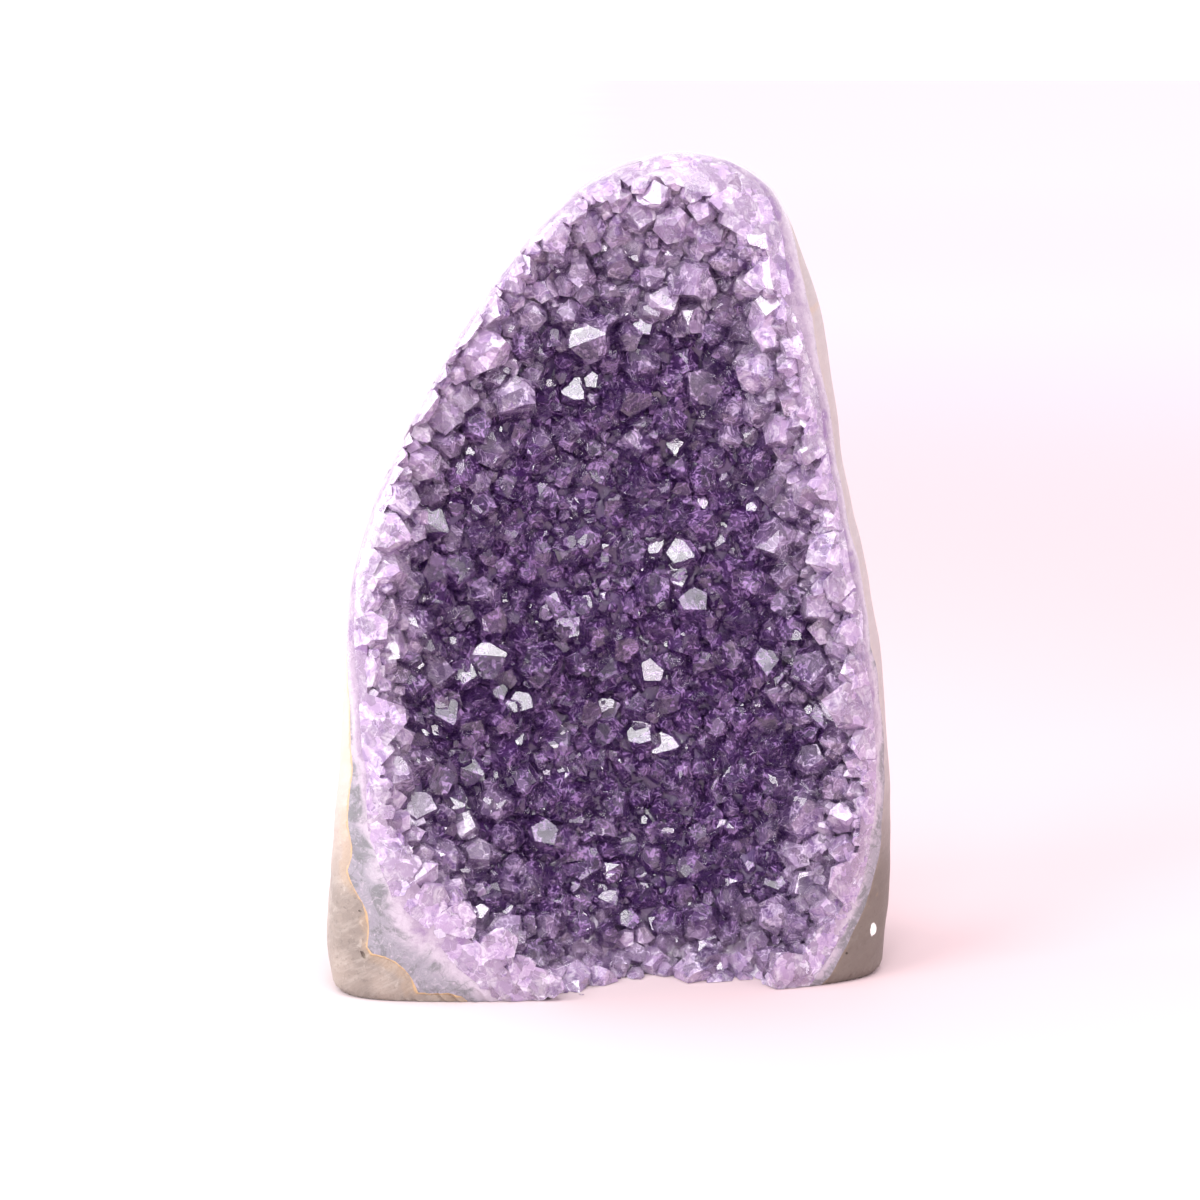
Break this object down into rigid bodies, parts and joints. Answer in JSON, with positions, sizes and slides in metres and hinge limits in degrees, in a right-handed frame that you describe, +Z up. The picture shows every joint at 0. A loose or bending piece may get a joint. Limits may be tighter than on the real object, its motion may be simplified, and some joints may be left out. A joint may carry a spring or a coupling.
{
  "type": "amethyst geode",
  "caption": "Tall piece of a geode's wall with a sawn base that it stands on, a ground rim and a shallow hollow lined with purple quartz crystals, for display.",
  "frame": {"origin": "middle of the sawn base, which is the bottom middle of the bounding box", "axes": "+Z up, +Y towards the domed back, so the crystal hollow faces -Y"},
  "size_m": [0.1012, 0.0598, 0.147],
  "materials": {
    "basalt": "ground and lightly polished grey-brown basalt with pale specks and rusty stains",
    "agate": "polished blue-grey and white banded agate",
    "amethyst": "clear to milky purple quartz, glossy crystal faces, paler towards the rim"
  },
  "bodies": {
    "root": {"basalt_matrix": "basalt", "agate_band": "agate", "amethyst_druse": "amethyst"}
  },
  "joints": []
}
